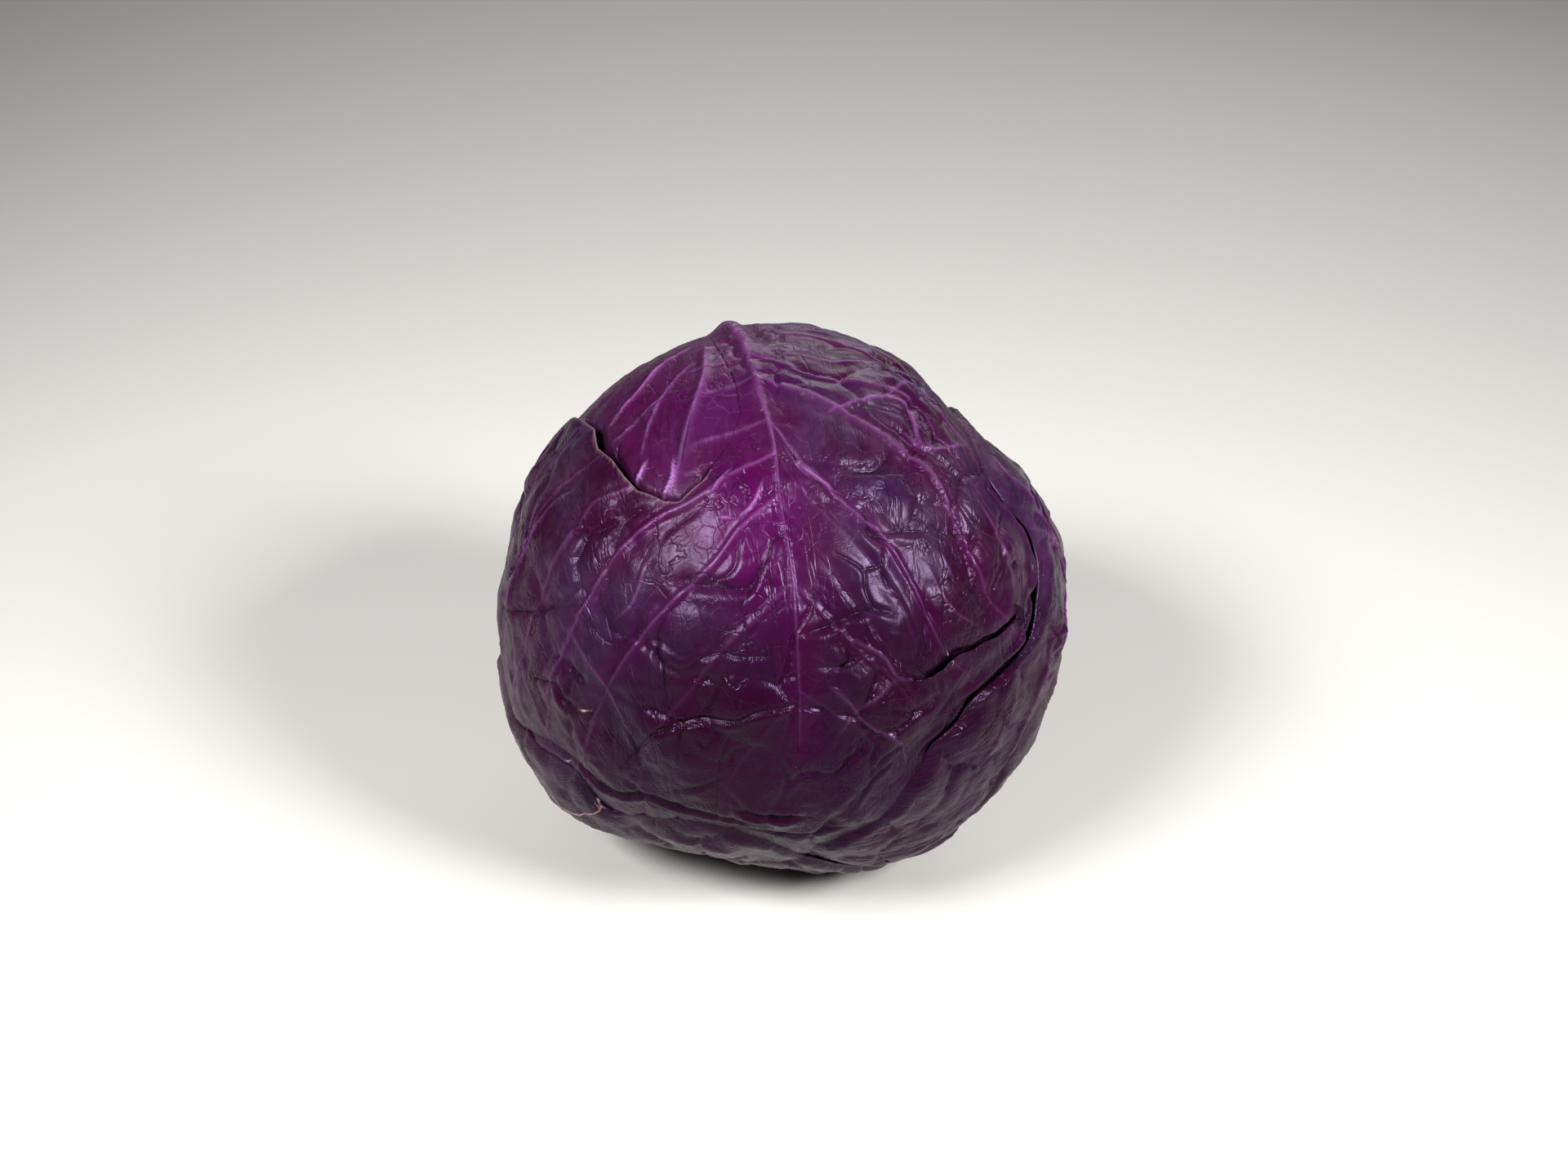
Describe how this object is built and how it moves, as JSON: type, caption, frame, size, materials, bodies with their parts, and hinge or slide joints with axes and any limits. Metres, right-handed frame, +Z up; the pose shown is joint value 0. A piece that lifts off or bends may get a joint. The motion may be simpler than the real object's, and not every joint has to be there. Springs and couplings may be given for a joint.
{
  "type": "cabbage head",
  "caption": "Round red cabbage head on its side: packed inner head, wrapped outer leaves with ribs, a torn window in the front one, and a cut stem stub",
  "frame": {"origin": "on the floor under the middle of the head's bounding box", "axes": "+Z up; -Y is the front, the side with the torn leaf; the stem points up and back, 32 degrees above level and 12 degrees left of straight back"},
  "size_m": [0.17, 0.169, 0.1623],
  "materials": {
    "stem": "matt cut stalk, pale and fibrous",
    "inner_leaf": "smooth waxy leaf, bright purple",
    "outer_leaf": "waxy leaf with a soft broad shine, dark purple with a grey bloom"
  },
  "bodies": {
    "root": {"stem": "stem", "inner_head": "inner_leaf", "leaf_left": "outer_leaf", "leaf_front": "outer_leaf", "leaf_right": "outer_leaf", "leaf_back": "outer_leaf"}
  },
  "joints": []
}
